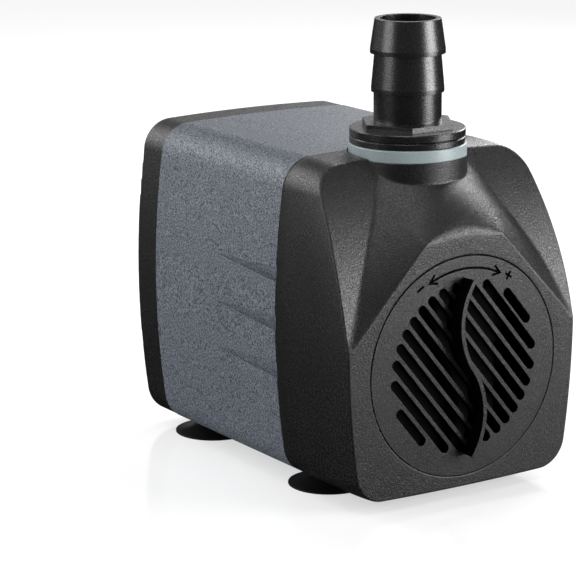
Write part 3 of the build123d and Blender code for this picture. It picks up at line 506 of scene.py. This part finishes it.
def cut_away(thing, tool):
    """Takes one solid out of another and removes the tool."""
    cut = thing.modifiers.new("cut", "BOOLEAN")
    cut.operation = "DIFFERENCE"
    cut.solver = "EXACT"
    cut.object = tool
    evaluated = thing.evaluated_get(bpy.context.evaluated_depsgraph_get())
    mesh = bpy.data.meshes.new_from_object(evaluated)
    thing.modifiers.clear()
    thing.data = mesh
    bpy.data.objects.remove(tool)


cover = build_front_cover()
outlet_profile = [(15.5, 88.0), (15.5, 128.2), (23.3, 128.2), (23.3, 140.0)]
cut_away(cover, lathe("outlet_cut", outlet_depth, 0, outlet_profile, 144))
for side in (-1, 1):
    cut_away(cover, lathe("cup_cut", cup_depth, side * cup_x, [(3.0, 0.0), (3.0, 12.0)], 48))

# ---------------------------------------------------------------- stage, lights and camera


def stage_material(name, color, rough, glow):
    """Pale glossy floor with a very faint tone variation."""
    material, tree, shader = new_material(name)
    where = tree.nodes.new("ShaderNodeTexCoord").outputs["Object"]
    broad = texture(tree, "ShaderNodeTexNoise", 2.0, where, 2.0, 0.5)
    dark = tuple(c * 0.99 for c in color)
    tree.links.new(tint(tree, broad.outputs["Fac"], dark, color), shader.inputs["Base Color"])
    shader.inputs["Roughness"].default_value = rough
    shader.inputs["IOR"].default_value = 2.0
    shader.inputs["Emission Color"].default_value = (1, 1, 1, 1)
    shader.inputs["Emission Strength"].default_value = glow
    return material


floor_mesh = bpy.data.meshes.new("floor")
half = 6.0
floor_corners = [(-half, -half, 0), (half, -half, 0), (half, half, 0), (-half, half, 0)]
floor_mesh.from_pydata(floor_corners, [], [(0, 1, 2, 3)])
floor = bpy.data.objects.new("floor", floor_mesh)
bpy.context.scene.collection.objects.link(floor)
floor_mesh.materials.append(stage_material("floor", (0.5, 0.5, 0.5), 0.1, 0.54))
floor.visible_glossy = False


def softbox(name, azimuth, elevation, radiance):
    """A square light on a dome round the pump; azimuth 0 is in front of its dial and 90 is on its left."""
    turn, rise = math.radians(azimuth), math.radians(elevation)
    flat = dome_radius * math.cos(rise)
    data = bpy.data.lights.new(name, "AREA")
    data.shape = "RECTANGLE"
    data.size, data.size_y = softbox_size, softbox_size
    data.energy = radiance * math.pi * softbox_size**2
    light = bpy.data.objects.new(name, data)
    bpy.context.scene.collection.objects.link(light)
    height = middle[2] + dome_radius * math.sin(rise)
    light.location = (-math.sin(turn) * flat, -math.cos(turn) * flat, height)
    away = light.location - Vector(middle)
    light.rotation_euler = away.to_track_quat("Z", "Y").to_euler()
    light.visible_camera = False


middle = (0, 0, 0.08)
dome_radius = 1.1
softbox_size = 0.6
softbox("key", -40, 10, 15)
softbox("fill", 100, 20, 6)
softbox("top", 40, 75, 4)
softbox("rim_left", 150, 30, 5)
softbox("rim_right", -120, 30, 10)

horizon_glow = 0.55
zenith_glow = 0.12
front_share = 0.25
ambient = 0.05
seen_backdrop = 1.0


def build_world():
    """A soft studio world, brighter behind the pump, dark below the floor and white to the camera."""
    world = bpy.data.worlds.new("studio")
    bpy.context.scene.world = world
    world.use_nodes = True
    tree = world.node_tree
    split = tree.nodes.new("ShaderNodeSeparateXYZ")
    tree.links.new(tree.nodes.new("ShaderNodeTexCoord").outputs["Generated"], split.inputs["Vector"])
    band = remap(tree, split.outputs["Z"], horizon_glow, zenith_glow, 0.22, 0.42, smooth=True)
    behind = remap(tree, split.outputs["Y"], front_share, 1.0, 0.2, 0.6, smooth=True)
    above = remap(tree, split.outputs["Z"], 0.0, 1.0, 0.0, 0.04)
    glow = math_node(tree, "MULTIPLY_ADD", band, behind, ambient)
    choice = tree.nodes.new("ShaderNodeMix")
    tree.links.new(tree.nodes.new("ShaderNodeLightPath").outputs["Is Camera Ray"], choice.inputs[0])
    tree.links.new(math_node(tree, "MULTIPLY", glow, above), choice.inputs[2])
    choice.inputs[3].default_value = seen_backdrop
    backdrop = tree.nodes["Background"]
    backdrop.inputs["Color"].default_value = (1, 1, 1, 1)
    tree.links.new(choice.outputs[0], backdrop.inputs["Strength"])


build_world()
bpy.context.scene.view_settings.view_transform = "Standard"

camera_data = bpy.data.cameras.new("camera")
camera_data.sensor_width = 36
camera_data.lens = 163.06
camera = bpy.data.objects.new("camera", camera_data)
bpy.context.scene.collection.objects.link(camera)
camera.location = (-0.5748, -0.84638, 0.31307)
camera_down, camera_heading, camera_roll = 13.537, -32.839, -0.334
camera.rotation_euler = (math.radians(90 - camera_down), 0, math.radians(camera_heading))
camera.rotation_euler.rotate_axis("Z", math.radians(camera_roll))
bpy.context.scene.camera = camera

cover.data.materials.append(finish["black_body"])
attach(cover, "pump_body")
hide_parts("front_cover")
for polygon in cover.data.polygons:
    polygon.use_smooth = True
